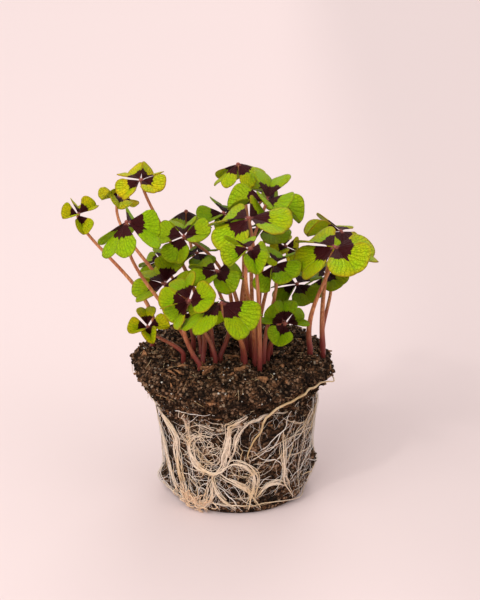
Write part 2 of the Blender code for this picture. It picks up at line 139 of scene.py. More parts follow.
# For each root in front: its radius and its route, as angles round the ball and heights
FRONT_ROOTS = (
    (PLAIN, (
        (-4, 65), (-22, 65), (-40, 66), (-58, 64), (-66, 60), (-72, 50), (-79, 42), (-82, 33),
    )),
    (THICK, ((-80, 59), (-93, 51), (-96, 45), (-98, 36), (-101, 28), (-108, 23))),
    (PLAIN, ((-76, 56), (-87, 49), (-91, 43), (-92, 36), (-97, 28))),
    (THICK, (
        (-107, 44), (-118, 44), (-125, 39), (-124, 32), (-118, 26), (-107, 24), (-97, 28),
    )),
    (PLAIN, ((-177, 51), (-166, 37), (-158, 27), (-151, 17), (-143, 8), (-133, 4))),
    (THICK, (
        (-170, 51), (-149, 45), (-139, 39), (-140, 29), (-137, 19), (-134, 9), (-126, 4),
    )),
    (PLAIN, ((-119, 58), (-127, 48), (-125, 39))),
    (THICK, ((-107, 24), (-109, 15), (-111, 8), (-118, 4), (-126, 5), (-131, 9), (-134, 17))),
    (PLAIN, ((-105, 25), (-92, 20), (-82, 15), (-75, 8), (-72, 4))),
    (THICK, ((-97, 28), (-92, 31), (-83, 29), (-77, 23), (-77, 16), (-79, 8), (-80, 4))),
    (PLAIN, ((-106, 22), (-106, 16), (-100, 10), (-90, 5))),
    (PLAIN, ((-57, 45), (-55, 36), (-54, 28), (-52, 19), (-48, 13), (-42, 5))),
    (THIN, ((-33, 45), (-33, 36), (-34, 28), (-35, 20), (-34, 5))),
    (PLAIN, ((-75, 10), (-68, 16), (-59, 17), (-48, 13))),
    (THIN, ((-84, 33), (-63, 38), (-43, 40), (-21, 38), (4, 30))),
    (THIN, ((-78, 29), (-56, 30), (-33, 28), (-16, 26), (2, 31))),
    (THIN, ((-57, 36), (-43, 41), (-30, 44), (-18, 49))),
    (THIN, ((-60, 57), (-49, 49), (-34, 45), (-20, 49))),
    (THIN, ((-128, 46), (-115, 50), (-104, 48), (-90, 51), (-77, 55), (-66, 58), (-50, 57))),
)
COLLAR_ROUTE = 0
FINE_ROUTES = (12, 14, 15, 16, 17)

# How many fibres a bundle has, how much of the route each may lack at an end, and how they stray
RING_FIBRES, BACK_FIBRES, FINE_FIBRES = 5, 6, 3
COLLAR_SHARE, FINE_SHARE = 1.4, 0.55
ROUTE_STEP = 1.7
MOST_CUT = 0.4
FIBRE_OFFSET = 1.6
DRIFT_SIZE, DRIFT_ASIDE, DRIFT_UP = 11, 1.8, 0.8
JITTER_SIZE, JITTER_ASIDE, JITTER_UP = 4, 0.5, 0.3
FIBRE_HEIGHT, ROOT_LIFT, LEAST_HEIGHT = 0.5, 0.8, 0.1
CORE_SHARE, FIBRE_SHARES, FIBRE_TIP = 0.45, (0.12, 0.27), 0.45

# Single roots: where they may run, how long their bends are, and the ways that they head
LOWEST_ROOT, HIGHEST_ROOT, ABOVE_FLOOR = 0.6, 69.0, 0.5
LOWEST_RUN, HIGHEST_RUN = 1.5, 60
LOWEST_START = 2.5
LONG_BEND, SHORT_BEND, RISE_LENGTH, RISE_SHARE = 9, 3, 5, 0.8
SINGLE_TIP = 0.35
LIE_SPREAD = 14
RIGHT_LIES = (28, 35, 45, 20, 80, 95, 0)
LEFT_LIES = (-80, -70, -100, -60, -45, 30)
BACK_LIES = (-85, -60, -110, 35, 0, 60)
MAT_WILDNESS = 2.2

# Their number, lengths, radii, step, height off the soil, wildness and highest start
LONG_ROOTS = (80, (22, 55), (0.14, 0.26), 2.2, 0.8, 1.2, 48)
STRAW_ROOTS = (22, (18, 40), (0.20, 0.36), 2.2, 0.6, 1.4, 42)
ROOT_HAIRS = (520, (8, 26), (0.05, 0.10), 2.0, 1.3, 1.6, 48)

# Felted mats: how many roots, middle and spread (angle, height), lengths, radii and lift
MATS = (
    (60, (-119, 35), (4, 6), (6, 14), (0.12, 0.24), 1.6),
    (40, (-101, 38), (4, 8), (5, 11), (0.12, 0.22), 1.6),
    (26, (-80, 23), (3, 5), (4, 9), (0.12, 0.22), 1.6),
)
KNOT = (60, (-125, 5), (6, 2), (5, 10), (0.18, 0.34), 2.8)

Leaf = namedtuple("Leaf", "name hub length fold foot bend leaflets")

# Two lines a leaf: its name and hub, the length of its leaflets, how far their halves fold up
# (down below 0), where its stalk stands, how far it bows, and each leaflet's heading and rise.
LEAVES = [Leaf(*row) for row in (
    ("01", (-77, 4, 143.5), 12.5, 46, (-42, 1), (8, -3),
     ((39, 12), (97, 1), (-131, 1), (-66, -52))),
    ("02", (-46, 0.5, 162), 14.5, 24, (-16, -3.5), (1, 2),
     ((63, -6), (123, -1), (-155, -40), (-38, -18))),
    ("03", (-58, 15.5, 148.5), 12.5, 30, (-21.5, -5.5), (2, -3),
     ((52, -40), (123, -18), (-137, 3), (-88, -15))),
    ("04", (-51, -33, 152), 19, -20, (-21.5, -16.5), (-9, -4),
     ((66, -34), (126, -47), (-114, -48), (3, -30))),
    ("05", (-25.5, 28, 137.5), 15, -40, (-12.5, -8), (0, 1),
     ((41, -36), (139, -37), (-134, -23), (-47, -22))),
    ("06", (-25.5, -7, 136), 16, 25, (-8, -17), (13, 12),
     ((90, 1), (167, -11), (-114, -54), (-26, 9))),
    ("07", (-6.5, 3, 144.5), 15, 15, (4.5, -10), (0, 0),
     ((25, -36), (94, -3), (-142, -13), (-80, -42))),
    ("08", (0.5, 21, 164), 15, -24, (7, -14), (1, 5),
     ((67, -24), (126, -50), (-140, -34), (-36, -31))),
    ("09", (14.5, 0, 152), 22, 40, (3.5, -17), (-5, -1),
     ((82, 13), (177, -19), (-76, -6), (-9, -37))),
    ("10", (5.5, -29, 152.5), 22, 16, (11, -29), (0, -4),
     ((59, -22), (137, -23), (-136, -47), (-23, -13))),
    ("11", (6, -60.5, 148.5), 16, 28, (8.5, -22.5), (1, 1),
     ((33, -44), (121, -12), (-140, -28), (-74, -42))),
    ("12", (24, 12, 124.5), 12.5, 34, (9.5, -18.5), (0, 0),
     ((53, -32), (116, 2), (-128, -16), (-70, -51))),
    ("13", (-9.5, -21, 123.5), 16, 18, (3, -21.5), (0, 0),
     ((24, -24), (146, -12), (-134, -24), (-53, -38))),
    ("14", (17.5, -17.5, 125.5), 16, 14, (13, -21), (0, 1),
     ((68, -5), (138, -17), (-102, -54), (-46, -17))),
    ("15", (52, 22, 129), 20, 14, (42.5, -4.5), (-2, -7),
     ((13, -58), (108, -10), (-175, -11), (-94, -29))),
    ("16", (46.5, -21, 135.5), 23, 12, (36, -8.5), (-4, -2),
     ((10, -20), (128, -12), (-169, -39), (-58, -24))),
    ("17", (45, 19, 107), 15, 15, (42.5, 6), (0, 0),
     ((72, 2), (128, -35), (-108, -48), (-51, -9))),
    ("18", (-34.5, -13.5, 114), 18, 16, (-16.5, -20), (4, 13),
     ((65, 36), (114, 5), (-166, -25), (-50, 1))),
    ("19", (-22, -44, 117), 16.5, 30, (-18, -28.5), (-10, -1),
     ((99, 24), (169, -20), (166, -58), (-27, 13))),
    ("20", (-7, -47.5, 117.5), 22, -10, (4, -25.5), (0, 0),
     ((46, -32), (123, -51), (-144, -31), (-35, -35))),
    ("21", (-43, -20.5, 94.5), 12.5, 46, (-26, -19), (1, -2),
     ((100, 30), (-146, -6), (-71, -32), (-12, 1))),
    ("22", (23, -26.5, 98.5), 14, 34, (15, -17), (0, 0),
     ((41, -5), (95, 36), (145, 2), (-118, -41))),
    ("23", (29.5, 1.5, 108.5), 15, 14, (16.5, -10), (0, 0),
     ((55, -2), (151, -20), (-131, -43), (-54, -33))),
    ("24", (-20, -19.5, 102.5), 14, 14, (-10.5, -21.5), (-1, 0),
     ((54, -6), (128, -27), (-114, -31), (-51, -12))),
    ("25", (-19.5, 1.5, 124.5), 13, 15, (-12, -12), (0, 1),
     ((52, -12), (127, -21), (-143, -26), (-68, -25))),
    ("26", (-38, 15.5, 116), 14, 15, (-17.5, -14.5), (1, 1),
     ((68, 0), (143, -32), (-129, -50), (-59, -24))),
    ("27", (13.5, 13.5, 134), 16, 15, (10.5, -9.5), (-1, -1),
     ((57, -15), (123, -20), (-117, -25), (-55, -23))),
    ("28", (15.5, 34, 144), 12.5, 24, (6.5, -5.5), (-3, 2),
     ((53, -53), (112, -8), (-160, 20), (-98, -20))),
)]

# How yellow each leaf is, how orange its margin and how deep its green, partly as painted shade,
# each from 0 to 1
TONES = {
    "01": (1.0, 0.5, 0.0), "02": (1.0, 0.9, 0.0), "03": (0.95, 0.3, 0.1), "04": (0.2, 0.15, 0.0),
    "05": (0.3, 0.1, 0.8), "06": (0.3, 0.3, 0.1), "07": (0.2, 0.1, 0.9), "08": (0.5, 0.5, 0.1),
    "09": (0.3, 0.2, 0.15), "10": (0.4, 0.6, 0.05), "11": (0.3, 0.2, 0.2), "12": (0.9, 0.2, 0.2),
    "13": (0.3, 0.1, 0.5), "14": (0.2, 0.3, 0.2), "15": (0.5, 0.8, 0.15), "16": (0.5, 0.7, 0.05),
    "17": (0.3, 0.1, 0.6), "18": (0.4, 0.3, 0.2), "19": (0.3, 0.7, 0.0), "20": (0.3, 0.2, 0.05),
    "21": (0.9, 0.5, 0.2), "22": (0.2, 0.1, 0.6), "23": (0.2, 0.1, 0.9), "24": (0.3, 0.2, 0.5),
    "25": (0.2, 0.1, 0.8), "26": (0.3, 0.1, 0.7), "27": (0.2, 0.1, 0.9), "28": (0.3, 0.1, 0.7),
}

# Dark, middle and light colours of the two soils, and pale, straw and brown ones of the roots
COMPOSTS = {
    "compost": ((0.025, 0.012, 0.006), (0.175, 0.079, 0.035), (0.49, 0.29, 0.17)),
    "compost_light": ((0.11, 0.052, 0.024), (0.34, 0.185, 0.095), (0.66, 0.47, 0.33)),
}
ROOT_SKINS = {
    "root_straw": ((0.62, 0.45, 0.26), (0.54, 0.36, 0.17), (0.24, 0.14, 0.07)),
    "root_cream": ((0.76, 0.62, 0.48), (0.72, 0.53, 0.33), (0.36, 0.24, 0.14)),
    "root_pale": ((0.82, 0.74, 0.67), (0.74, 0.62, 0.50), (0.44, 0.33, 0.25)),
    "root_orange": ((0.84, 0.60, 0.40), (0.76, 0.48, 0.27), (0.46, 0.26, 0.13)),
}

# The stage, in metres, watts and degrees. Each lamp has a place, a width, a power and a colour.
FLOOR_RADIUS = 4.0
SKY_COLOUR, SKY_STRENGTH = (1.0, 0.95, 0.945, 1), 0.82
LAMPS = (
    ("key", (-1.6, -2.1, 2.6), 3.0, 63.0, (1.0, 0.98, 0.96)),
    ("spot", (-0.9, -1.2, 1.5), 0.15, 5.0, (1.0, 0.98, 0.95)),
    ("fill", (2.2, -1.6, 1.6), 2.0, 10.0, (1.0, 0.95, 0.95)),
    ("back", (0.4, 2.4, 2.2), 1.8, 22.0, (1.0, 0.98, 0.96)),
)
LAMPS_AIM = (0, 0, 0.09)
CAMERA_AIM, CAMERA_DISTANCE, CAMERA_LIFT = (0.0015, 0, 0.1005), 0.8, 21
SENSOR, LENS = 36, 97.44

random.seed(28)
noise.seed_set(28)


# Looks


class Look:
    """A material whose nodes are added by short calls that give back sockets."""

    def __init__(self, name):
        self.material = bpy.data.materials.new(name)
        self.material.use_nodes = True
        self.tree = self.material.node_tree
        self.surface = self.tree.nodes["Principled BSDF"]

    def node(self, kind, inputs=(), **settings):
        made = self.tree.nodes.new("ShaderNode" + kind)
        for name, value in settings.items():
            setattr(made, name, value)
        for name, value in dict(inputs).items():
            self.put(made.inputs[name], value)
        return made

    def put(self, socket, value):
        if isinstance(value, bpy.types.NodeSocket):
            self.tree.links.new(value, socket)
        elif socket.type == "RGBA":
            socket.default_value = (*value, 1)
        else:
            socket.default_value = value

    def uv(self, name):
        """The two numbers that a UV map holds."""
        held = self.node("UVMap", uv_map=name).outputs["UV"]
        return self.part(held, "X"), self.part(held, "Y")

    def place(self):
        return self.node("TexCoord").outputs["Object"]

    def part(self, vector, axis):
        return self.node("SeparateXYZ", {"Vector": vector}).outputs[axis]

    def math(self, operation, *values):
        made = self.node("Math", operation=operation)
        for socket, value in zip(made.inputs, values):
            self.put(socket, value)
        return made.outputs["Value"]

    def times(self, first, second):
        return self.math("MULTIPLY", first, second)

    def times_plus(self, first, second, added):
        return self.math("MULTIPLY_ADD", first, second, added)

    def scaled(self, vector, scale):
        return self.node("Mapping", {"Vector": vector, "Scale": scale}).outputs["Vector"]

    def smooth(self, value, low, high, at_low=0.0, at_high=1.0):
        """A soft step from at_low to at_high as the value goes from low to high."""
        inputs = {0: value, 1: low, 2: high, 3: at_low, 4: at_high}
        made = self.node("MapRange", inputs, interpolation_type="SMOOTHSTEP")
        return made.outputs["Result"]

    def noise(self, vector, scale, detail=3.0, rough=0.55):
        inputs = {"Vector": vector, "Scale": scale, "Detail": detail, "Roughness": rough}
        return self.node("TexNoise", inputs).outputs["Fac"]

    def cells(self, vector, scale, feature="F1", output="Distance"):
        made = self.node("TexVoronoi", {"Vector": vector, "Scale": scale}, feature=feature)
        return made.outputs[output]

    def mix(self, share, first, second):
        """Two colours mixed: their sockets are 6 and 7, their share's is 0 and the result is 2."""
        return self.node("Mix", {0: share, 6: first, 7: second}, data_type="RGBA").outputs[2]

    def layers(self, base, *laid):
        """The base with colours laid over it in turn, each by its own share."""
        for share, colour in laid:
            base = self.mix(share, base, colour)
        return base

    def relief(self, height, strength, depth):
        inputs = {"Height": height, "Strength": strength, "Distance": depth}
        return self.node("Bump", inputs).outputs["Normal"]

    def shade(self, colour, roughness, normal, specular):
        self.put(self.surface.inputs["Base Color"], colour)
        self.put(self.surface.inputs["Roughness"], roughness)
        self.surface.inputs["Specular IOR Level"].default_value = specular
        if normal:
            self.put(self.surface.inputs["Normal"], normal)

    def soften(self, weight, radius):
        """Lets light spread under the skin."""
        self.surface.inputs["Subsurface Weight"].default_value = weight
        self.surface.inputs["Subsurface Radius"].default_value = radius

    def let_through(self, colour, share):
        """Lets light through from the far side of a thin blade."""
        through = self.node("BsdfTranslucent", {"Color": colour})
        inputs = {0: share, 1: self.surface.outputs[0], 2: through.outputs[0]}
        both = self.node("MixShader", inputs).outputs[0]
        self.put(self.tree.nodes["Material Output"].inputs["Surface"], both)


Pattern = namedtuple("Pattern", "out side radial yellow margin deep place vein rib nets mark")


def blade_pattern(look):
    """What both faces of a blade share: its coordinates, its fan of veins and its dark mark."""
    across, out = look.uv("Blade")
    radial, yellow = look.uv("Spread")
    # The Tone map holds the margin and the deep tone, which is partly the leaf's own green and
    # partly painted shade
    margin, deep = look.uv("Tone")
    side = look.math("ABSOLUTE", look.times_plus(across, 2.0, -1.0))
    place = look.place()
    wander = look.noise(place, WANDER_SCALE)
    fan = look.times_plus(side, VEINS, look.times(radial, VEIN_LEAN))
    fan = look.times_plus(wander, VEIN_WANDER, fan)
    vein = look.smooth(look.math("PINGPONG", fan, 0.5), VEIN_WIDTH, 0.0)
    rib = look.smooth(side, RIB_WIDTH, 0.0)
    nets = look.smooth(look.cells(place, NET_SCALE, "DISTANCE_TO_EDGE"), NET_WIDTH, 0.0)
    edge = MARK_REACH
    for count, depth, detail in MARK_TEETH:
        inputs = {"X": look.times(across, count), "Y": radial, "Z": wander}
        spread = look.node("CombineXYZ", inputs).outputs["Vector"]
        edge = look.times_plus(look.noise(spread, 1.0, detail), depth, edge)
    edge = look.math("ADD", edge, look.smooth(side, RIB_REACH, 0.0, 0.0, MARK_AT_RIB))
    mark = look.smooth(look.math("SUBTRACT", edge, radial), -0.012, 0.014)
    return Pattern(out, side, radial, yellow, margin, deep, place, vein, rib, nets, mark)


def edge_of_blade(look, blade):
    """How far inside a blade's margin a point is: 0 or less at it, and more further in."""
    tip = look.math("SUBTRACT", 1.0, blade.out)
    flank = look.times(look.math("SUBTRACT", 1.0, blade.side), blade.radial)
    near = look.math("SUBTRACT", look.math("MINIMUM", tip, flank), 0.05)
    return look.times_plus(look.noise(blade.place, 330.0), 0.11, near)


def green_of_blade(look, blade, mottle, fine):
    """Fresh green deepened partly as painted shade, ripening to yellow, with veins, flecks and
    rusty margin.
    """
    # painted shade in part: the deep tone darkens the green towards deep green
    shade = look.times_plus(blade.deep, 0.8, look.smooth(mottle, 0.35, 0.75, 0.0, 0.25))
    ripe = look.times(blade.yellow, look.smooth(mottle, 0.3, 0.7, 0.38, 1.0))
    near = edge_of_blade(look, blade)
    glow = look.times(look.smooth(near, 0.16, 0.0), blade.margin)
    rust = look.times(look.smooth(near, 0.04, 0.0), blade.margin)
    return look.layers(
        look.mix(shade, (0.31, 0.615, 0.001), (0.05, 0.155, 0.001)),
        (ripe, (0.90, 0.71, 0.002)),
        (look.times(blade.nets, 0.30), (0.11, 0.22, 0.001)),
        (look.times(blade.vein, 0.44), (0.14, 0.26, 0.001)),
        (look.times(blade.rib, 0.45), (0.42, 0.52, 0.06)),
        (look.smooth(fine, 0.50, 0.72, 0.0, 0.40), (0.12, 0.25, 0.001)),
        (look.smooth(fine, 0.48, 0.30, 0.0, 0.30), (0.50, 0.66, 0.02)),
        (look.smooth(near, 0.035, 0.0, 0.0, 0.45), (0.11, 0.19, 0.002)),
        (look.times(glow, 0.75), (0.60, 0.40, 0.01)),
        (look.times(rust, 0.55), (0.40, 0.12, 0.012)),
    )


def upper_blade():
    look = Look("blade_upper")
    blade = blade_pattern(look)
    mottle = look.noise(blade.place, 140.0, 4.0)
    fine = look.noise(blade.place, 1100.0, 3.0, 0.7)
    green = green_of_blade(look, blade, mottle, fine)
    wine = look.layers(
        # the deep tone darkens the mark too, partly as painted shade
        look.mix(blade.deep, (0.058, 0.007, 0.008), (0.020, 0.003, 0.004)),
        (look.times(blade.vein, 0.75), (0.14, 0.016, 0.020)),
        (look.times(blade.rib, 0.6), (0.30, 0.07, 0.06)),
    )
    by_hub = look.smooth(blade.radial, 0.10, 0.03)
    colour = look.layers(green, (blade.mark, wine), (by_hub, (0.42, 0.13, 0.10)))
    height = look.times_plus(blade.vein, -0.7, look.times(blade.nets, -0.45))
    height = look.times_plus(blade.rib, -0.8, height)
    height = look.times_plus(fine, 0.5, height)
    rough = look.smooth(mottle, 0.3, 0.8, 0.42, 0.56)
    look.shade(colour, rough, look.relief(height, 0.9, 0.0005), 0.12)
    lit = look.mix(0.25, green, (0.45, 0.70, 0.002))
    look.let_through(look.mix(blade.mark, lit, (0.10, 0.012, 0.016)), 0.25)
    return look.material


def under_blade():
    look = Look("blade_under")
    blade = blade_pattern(look)
    mottle = look.noise(blade.place, 160.0, 4.0)
    near = edge_of_blade(look, blade)
    colour = look.layers(
        look.mix(look.smooth(mottle, 0.3, 0.7), (0.34, 0.40, 0.10), (0.22, 0.28, 0.06)),
        # the deep tone darkens the underside, partly as painted shade
        (look.times(blade.deep, 0.45), (0.10, 0.16, 0.03)),
        (look.times(blade.vein, 0.5), (0.44, 0.44, 0.17)),
        (look.times(blade.rib, 0.7), (0.50, 0.46, 0.22)),
        (look.times(look.smooth(near, 0.05, 0.0), blade.margin), (0.40, 0.16, 0.04)),
        (look.times(blade.mark, 0.75), (0.14, 0.055, 0.05)),
        (look.smooth(blade.radial, 0.10, 0.03), (0.40, 0.16, 0.12)),
    )
    height = look.times_plus(blade.vein, 0.7, blade.rib)
    look.shade(colour, 0.55, look.relief(height, 0.5, 0.0002), 0.35)
    look.let_through(look.mix(blade.mark, (0.38, 0.56, 0.02), (0.10, 0.012, 0.016)), 0.3)
    return look.material


def stalk_skin():
    """Purple at the soil, then brick red, and pinker and paler under the leaf."""
    look = Look("stalk_skin")
    place = look.place()
    height = look.part(place, "Z")
    streaks = look.noise(look.scaled(place, (1.0, 1.0, 0.06)), 1500.0)
    tone = look.noise(place, 60.0, 2.0)
    red = look.layers(
        look.mix(look.smooth(streaks, 0.3, 0.7), (0.36, 0.095, 0.03), (0.70, 0.32, 0.13)),
        (look.smooth(tone, 0.4, 0.7, 0.0, 0.5), (0.30, 0.06, 0.03)),
        (look.smooth(height, 0.115, 0.150, 0.0, 0.5), (0.52, 0.19, 0.10)),
        (look.smooth(height, 0.098, 0.079), (0.20, 0.035, 0.028)),
    )
    look.shade(red, 0.42, look.relief(streaks, 0.25, 0.0001), 0.3)
    look.soften(0.12, (0.002, 0.0008, 0.0004))
    return look.material


def compost_look(name):
    """Peat: grains in several browns, with painted shade that makes the pits between them near
    black.
    """
    dark, brown, light = COMPOSTS[name]
    look = Look(name)
    place = look.place()
    warp = look.node("TexNoise", {"Vector": place, "Scale": GRAIN_SCALE, "Detail": 2.0})
    inputs = {0: warp.outputs["Color"], 1: GRAIN_BEND, 2: place}
    bent = look.node("VectorMath", inputs, operation="MULTIPLY_ADD").outputs["Vector"]
    grain = look.cells(bent, GRAIN_SCALE, "F1", "Color")
    tint = look.node("SeparateColor", {"Color": grain}).outputs["Red"]
    from_middle = look.cells(bent, GRAIN_SCALE)
    clod = look.noise(place, 190.0, 5.0, 0.65)
    fine = look.noise(place, 1500.0, 3.0, 0.6)
    dark_patches = look.noise(place, 95.0, 2.0)
    colour = look.layers(
        look.mix(look.smooth(clod, 0.35, 0.66), dark, brown),
        (look.smooth(tint, 0.62, 0.90, 0.0, 0.8), light),
        (look.smooth(tint, 0.965, 0.975, 0.0, 0.8), (0.46, 0.37, 0.26)),
        (look.smooth(fine, 0.52, 0.74, 0.0, 0.5), light),
        # darker in random patches
        (look.smooth(dark_patches, 0.56, 0.36, 0.0, 0.7), dark),
        # painted shade: near black in the pits between the grains
        (look.smooth(from_middle, 0.35, 0.70, 0.0, 0.9), (0.005, 0.003, 0.002)),
    )
    height = look.times_plus(from_middle, -1.0, fine)
    look.shade(colour, 0.92, look.relief(height, 1.0, 0.0012), 0.1)
    return look.material


def bark_look():
    look = Look("bark")
    streaks = look.noise(look.scaled(look.place(), (1.0, 0.35, 1.0)), 900.0, 4.0)
    brown = look.smooth(streaks, 0.3, 0.7)
    colour = look.mix(brown, (0.11, 0.042, 0.018), (0.44, 0.205, 0.085))
    look.shade(colour, 0.8, look.relief(streaks, 0.6, 0.0003), 0.3)
    return look.material


def mottled_look(name, scale, first, second, roughness):
    """Two colours that fine noise mixes."""
    look = Look(name)
    colour = look.mix(look.noise(look.place(), scale), first, second)
    look.shade(colour, roughness, None, 0.4)
    return look.material


def root_look(name):
    """Root skin: mostly pale, in places straw coloured or stained by the soil."""
    pale, straw, brown = ROOT_SKINS[name]
    look = Look(name)
    place = look.place()
    skin = look.noise(place, 850.0, 4.0)
    colour = look.layers(
        pale,
        (look.smooth(look.noise(place, 75.0), 0.45, 0.62), straw),
        (look.smooth(skin, 0.50, 0.78, 0.0, 0.75), brown),
    )
    look.shade(colour, 0.62, look.relief(skin, 0.5, 0.0002), 0.35)
    look.soften(0.1, (0.002, 0.0014, 0.001))
    return look.material


def floor_look():
    """Pale pink, a little darker towards the right, where less light falls."""
    look = Look("floor")
    right = look.smooth(look.part(look.place(), "X"), 0.03, 0.15)
    colour = look.mix(right, (0.752, 0.630, 0.620), (0.660, 0.557, 0.548))
    look.shade(colour, 0.85, None, 0.1)
    return look.material


# Pieces


def dress(mesh, materials):
    mesh.materials.clear()
    for material in materials:
        mesh.materials.append(material)


def new_object(name, data):
    thing = bpy.data.objects.new(name, data)
    bpy.context.scene.collection.objects.link(thing)
    return thing


def add_piece(name, mesh, *materials):
    dress(mesh, materials)
    return new_object(name, mesh)


def mesh_from(bm, name):
    mesh = bpy.data.meshes.new(name)
    bm.to_mesh(mesh)
    bm.free()
    return mesh


def final_mesh(thing):
    """A new mesh of a curve or a piece as it is shown, with its thickness."""
    bpy.context.view_layer.update()
    graph = bpy.context.evaluated_depsgraph_get()
    return bpy.data.meshes.new_from_object(thing.evaluated_get(graph))


def smoothstep(low, high, value):
    t = min(max((value - low) / (high - low), 0.0), 1.0)
    return t * t * (3 - 2 * t)


def strands(name, routes, sides_beyond_four, material):
    """Many thin tubes in one mesh, each of (points, radii), as one curve with a spline for each."""
    curve = bpy.data.curves.new(name, "CURVE")
    curve.dimensions = "3D"
    curve.bevel_depth = MM
    curve.bevel_resolution = sides_beyond_four
    curve.use_fill_caps = True
    for points, radii in routes:
        spline = curve.splines.new("POLY")
        spline.points.add(len(points) - 1)
        for knot, point, radius in zip(spline.points, points, radii):
            knot.co = (*(point * MM), 1)
            knot.radius = radius
    holder = new_object(name + "_curve", curve)
    mesh = final_mesh(holder)
    bpy.data.objects.remove(holder, do_unlink=True)
    bm = bmesh.new()
    bm.from_mesh(mesh)
    bmesh.ops.remove_doubles(bm, verts=bm.verts, dist=SAME_POINT * MM)
    bm.to_mesh(mesh)
    bm.free()
    mesh.shade_smooth()
    return add_piece(name, mesh, material)


def scattered(name, divisions, ragged, places, material):
    """Grains as one piece: a low icosphere pulled out of shape, set down by each matrix."""
    grain = bmesh.new()
    bmesh.ops.create_icosphere(grain, subdivisions=divisions, radius=MM)
    for vertex in grain.verts:
        vertex.co *= 1 + ragged * noise.noise(vertex.co / MM * DENTS)
    template = mesh_from(grain, name)
    shape = [vertex.co.copy() for vertex in template.vertices]
    bm = bmesh.new()
    for matrix in places:
        for vertex, co in zip(template.vertices, shape):
            vertex.co = matrix @ co
        bm.from_mesh(template)
    mesh = mesh_from(bm, name)
    bpy.data.meshes.remove(template)
    return add_piece(name, mesh, material)


# Leaves


def heading(degrees, rise):
    turn, lift = radians(degrees), radians(rise)
    level = cos(lift)
    return Vector((level * cos(turn), level * sin(turn), sin(lift)))


def leaf_axis(ways):
    """The way that a leaf's upper side faces, square to its four leaflets taken together."""
    total = Vector()
    for i, way in enumerate(ways):
        total += way.cross(ways[(i + 1) % len(ways)])
    return total.normalized()


def reach(across):
    """A leaflet's outline from its hub: 1 at its two lobes, less at the notch and the shoulders."""
    a = abs(across)
    notch = NOTCH * max(0.0, 1 - a / NOTCH_WIDTH) ** 2
    shoulder = SHOULDER * (max(0.0, a - SHOULDER_FROM) / (1 - SHOULDER_FROM)) ** SHOULDER_CURVE
    return 1 - notch - shoulder


def leaflet_frame(way, axis):
    """A leaflet's upward way and the side that faces the next leaflet."""
    up = (axis - way * axis.dot(way)).normalized()
    return up, up.cross(way)


def half_blade(way, axis, hand, fold):
    """The outer edge of half a leaflet, and the way that its upper face looks."""
    up, side = leaflet_frame(way, axis)
    lift = radians(fold)
    out = hand * side * cos(lift) + up * sin(lift)
    edge = cos(HALF_ANGLE) * way + sin(HALF_ANGLE) * out
    return edge, hand * way.cross(out)


def high_fold(way, following, axis, least):
    """How far a leaflet's half is raised, in degrees, to lie over the next one or clear of it."""
    low_edge, low_face = half_blade(following, axis, -1, least)
    for fold in range(least, MOST_FOLD, FOLD_STEP):
        edge, face = half_blade(way, axis, 1, fold)
        over = edge.dot(low_face) > LAYER_GAP and low_edge.dot(face) < -LAYER_GAP
        between = way - following
        beside = edge.dot(between) > SIDE_GAP and low_edge.dot(between) < -SIDE_GAP
        if over or beside:
            return fold
    return MOST_FOLD


def on_grid(vertex):
    """A grid vertex's place: -1 to 1 across the leaflet and 0 to 1 out from its hub."""
    return 2 * vertex.co.x, vertex.co.y + 0.5


def map_leaflet(bm, leaf, index):
    """The UV maps that a blade's look reads: its coordinates, its spread and its tones."""
    maps = {name: bm.loops.layers.uv.new(name) for name in ("Blade", "Spread", "Tone")}
    # the third tone is the deep green, partly the leaf's own and partly painted shade for leaves in
    # shadow
    yellow, margin, deep = TONES[leaf.name]
    turned = TONE_TURN * sin(7.3 * index + 2.1 * float(leaf.name))
    tone = (margin, min(max(deep + turned, 0.0), 1.0))
    for face in bm.faces:
        for loop in face.loops:
            across, out = on_grid(loop.vert)
            loop[maps["Blade"]].uv = (0.5 + across / 2, out)
            loop[maps["Spread"]].uv = (reach(across) * out, yellow)
            loop[maps["Tone"]].uv = tone


def relief_of_blade(across, out, index, seed):
    """How far a blade stands off its plain fold at a place, as a share of its length."""
    half = abs(across)
    wave = WAVE * sin(WAVES * pi * across + index)
    wave += RIPPLE * noise.noise(Vector((RIPPLES_ACROSS * across, RIPPLES_OUT * out, 0)) + seed)
    belly = BELLY * half * (1 - half) * 4 * out
    furrows = sin(2 * pi * (CREASES_ACROSS * half - CREASES_OUT * out))
    crease = CREASE * furrows * out * (1 - out) * 2
    return wave * out * out + belly + crease


def leaflet(leaf, ways, axis, index):
    """One heart-shaped blade, arched along its length, folded up along its midrib and waved."""
    way = ways[index]
    up, side = leaflet_frame(way, axis)
    folds = {1: high_fold(way, ways[(index + 1) % len(ways)], axis, leaf.fold), -1: leaf.fold}
    start = way * cos(ARCH / 2) + up * sin(ARCH / 2)
    start_up = up * cos(ARCH / 2) - way * sin(ARCH / 2)
    bend = ARCH / leaf.length
    bm = bmesh.new()
    bmesh.ops.create_grid(bm, x_segments=ACROSS, y_segments=ALONG, size=0.5)
    map_leaflet(bm, leaf, index)
    seed = Vector((leaf.hub[0], leaf.hub[1], 9.0 * index))
    for vertex in bm.verts:
        across, out = on_grid(vertex)
        angle = across * HALF_ANGLE
        far = leaf.length * reach(across) * out
        along = BLADE_START + (1 - BLADE_START / leaf.length) * far * cos(angle)
        aside = far * sin(angle)
        turn = bend * along
        spine = start * (sin(turn) / bend) - start_up * ((1 - cos(turn)) / bend)
        local_up = start_up * cos(turn) - start * sin(turn)
        lift = radians(folds[1 if across >= 0 else -1])
        rise = abs(aside) * sin(lift)
        rise += leaf.length * relief_of_blade(across, out, index, seed)
        vertex.co = spine + side * (aside * cos(lift)) + local_up * rise
    bmesh.ops.remove_doubles(bm, verts=bm.verts, dist=SAME_POINT)
    for vertex in bm.verts:
        vertex.co = (vertex.co + Vector(leaf.hub)) * MM
    return mesh_from(bm, "leaflet")


